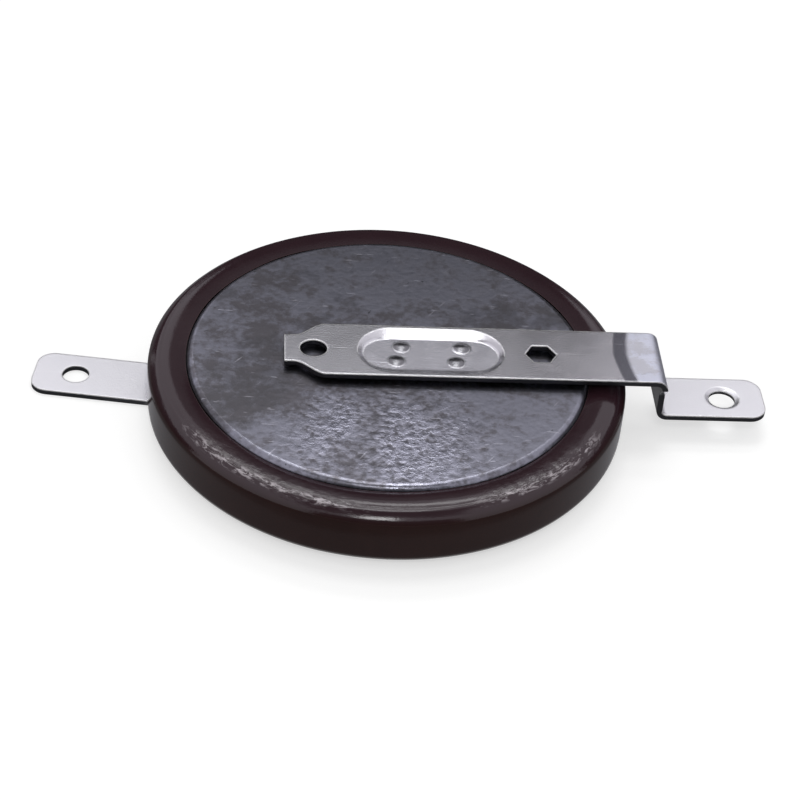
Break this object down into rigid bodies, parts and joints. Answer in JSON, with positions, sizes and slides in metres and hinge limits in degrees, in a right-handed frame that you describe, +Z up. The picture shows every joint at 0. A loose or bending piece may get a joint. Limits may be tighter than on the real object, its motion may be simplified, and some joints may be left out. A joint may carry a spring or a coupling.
{
  "type": "lithium coin cell",
  "caption": "Round flat lithium cell in a shrink sleeve, with a folded solder tab strip welded to its cap and a flat one to its can.",
  "frame": {"origin": "on the cell's axis, in the plane that the lower strip rests on", "axes": "+X along the negative strip towards its tab, +Z up through the cell from the can's bottom to the cap"},
  "size_m": [0.0385, 0.0248, 0.0041],
  "materials": {
    "can_steel": "drawn sheet steel, satin, fine circular marks",
    "cap_steel": "tarnished sheet steel, mottled grey with fine pits and scratches",
    "gasket_plastic": "moulded dark plastic, matt",
    "sleeve_film": "shrunk film, dark maroon-brown, glossy with fine shrink creases",
    "strip_metal": "plated strip, smooth satin, bright sheared edges"
  },
  "bodies": {
    "root": {"cell_can": "can_steel", "negative_cap": "cap_steel", "sealing_gasket": "gasket_plastic", "shrink_sleeve": "sleeve_film", "negative_strip": "strip_metal", "positive_strip": "strip_metal"}
  },
  "joints": []
}
